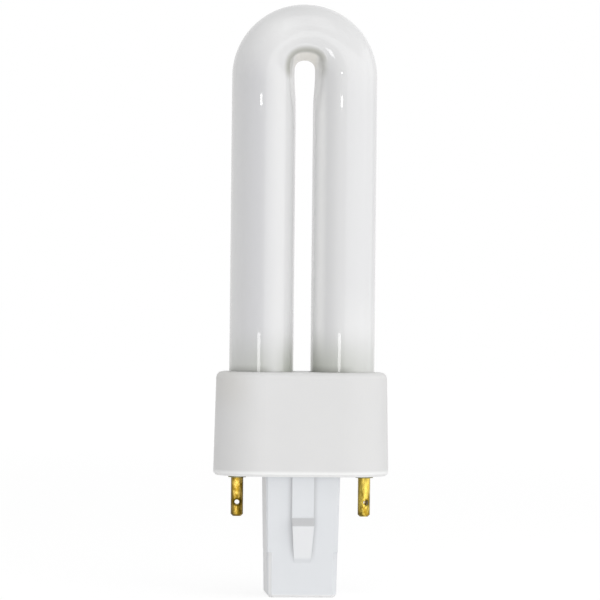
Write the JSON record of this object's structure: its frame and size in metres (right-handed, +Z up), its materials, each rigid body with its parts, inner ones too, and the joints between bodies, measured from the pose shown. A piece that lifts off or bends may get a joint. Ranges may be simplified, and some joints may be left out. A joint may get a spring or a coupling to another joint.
{
  "type": "two pin compact fluorescent lamp",
  "caption": "Compact fluorescent lamp: a narrow U of white coated glass on a white base with a latching guide post and brass contact pins.",
  "frame": {"origin": "middle of the seat, the underside of the base that meets a lamp holder", "axes": "+Z up along the glass legs, X through both legs and both pins, -Y the front"},
  "size_m": [0.0316, 0.0176, 0.1067],
  "materials": {
    "coated_glass": "smooth glass with a white coating inside, opaque",
    "shell_plastic": "satin white moulding",
    "cap_plastic": "smooth cool white moulding",
    "pin_brass": "drawn brass, slightly worn",
    "cement": "dull cement",
    "lead_wire": "plain drawn wire",
    "splice_metal": "tinned sleeve",
    "starter_glass": "clear glass",
    "capacitor_case": "dipped case"
  },
  "bodies": {
    "root": {"glass_tube": "coated_glass", "base_shell": "shell_plastic", "lamp_cap": "cap_plastic", "pin_left": "pin_brass", "pin_right": "pin_brass", "tube_cement_left": "cement", "tube_cement_right": "cement", "pin_lead_left": "lead_wire", "pin_lead_right": "lead_wire", "splice_lead_left": "lead_wire", "splice_lead_right": "lead_wire", "splice_sleeve_left": "splice_metal", "splice_sleeve_right": "splice_metal", "starter_bulb": "starter_glass", "starter_lead_left": "lead_wire", "starter_lead_right": "lead_wire", "capacitor": "capacitor_case", "capacitor_lead_left": "lead_wire", "capacitor_lead_right": "lead_wire"}
  },
  "joints": []
}
